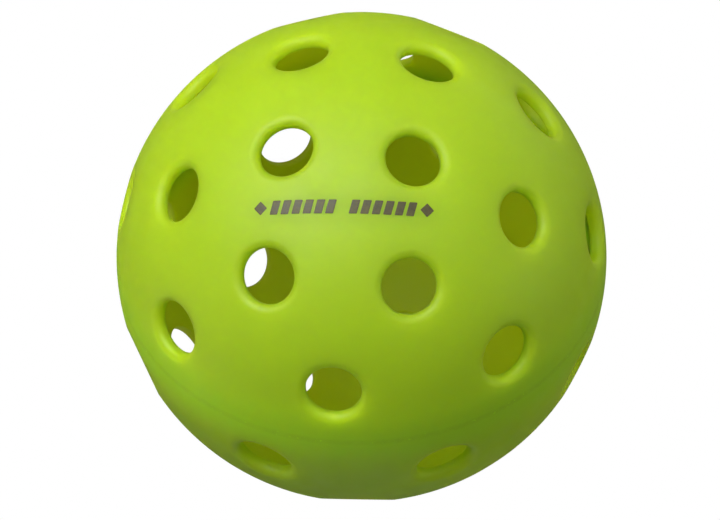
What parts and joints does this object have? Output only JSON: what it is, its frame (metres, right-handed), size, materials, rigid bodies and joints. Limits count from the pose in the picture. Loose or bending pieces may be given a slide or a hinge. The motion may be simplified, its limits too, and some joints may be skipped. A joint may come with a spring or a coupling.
{
  "type": "pickleball ball",
  "caption": "Hollow plastic pickleball ball: two moulded half shells with round air holes, lapped and welded at the equator, with a plain ink mark.",
  "frame": {"origin": "centre of the ball", "axes": "+Z through the upper half's pole, square to the weld seam; +X through the first hole of the upper half's row nearest the seam; the printed mark faces -Y"},
  "size_m": [0.074, 0.074, 0.074],
  "materials": {
    "lime_polyethylene": "satin",
    "weld_polyethylene": "satin",
    "olive_ink": "matte"
  },
  "bodies": {
    "root": {"upper_half_shell": "lime_polyethylene", "lower_half_shell": "lime_polyethylene", "weld_bead": "weld_polyethylene", "ink_bar_left_1": "olive_ink", "ink_bar_left_2": "olive_ink", "ink_bar_left_3": "olive_ink", "ink_bar_left_4": "olive_ink", "ink_bar_left_5": "olive_ink", "ink_bar_left_6": "olive_ink", "ink_bar_right_1": "olive_ink", "ink_bar_right_2": "olive_ink", "ink_bar_right_3": "olive_ink", "ink_bar_right_4": "olive_ink", "ink_bar_right_5": "olive_ink", "ink_bar_right_6": "olive_ink", "ink_diamond_left": "olive_ink", "ink_diamond_right": "olive_ink"}
  },
  "joints": []
}
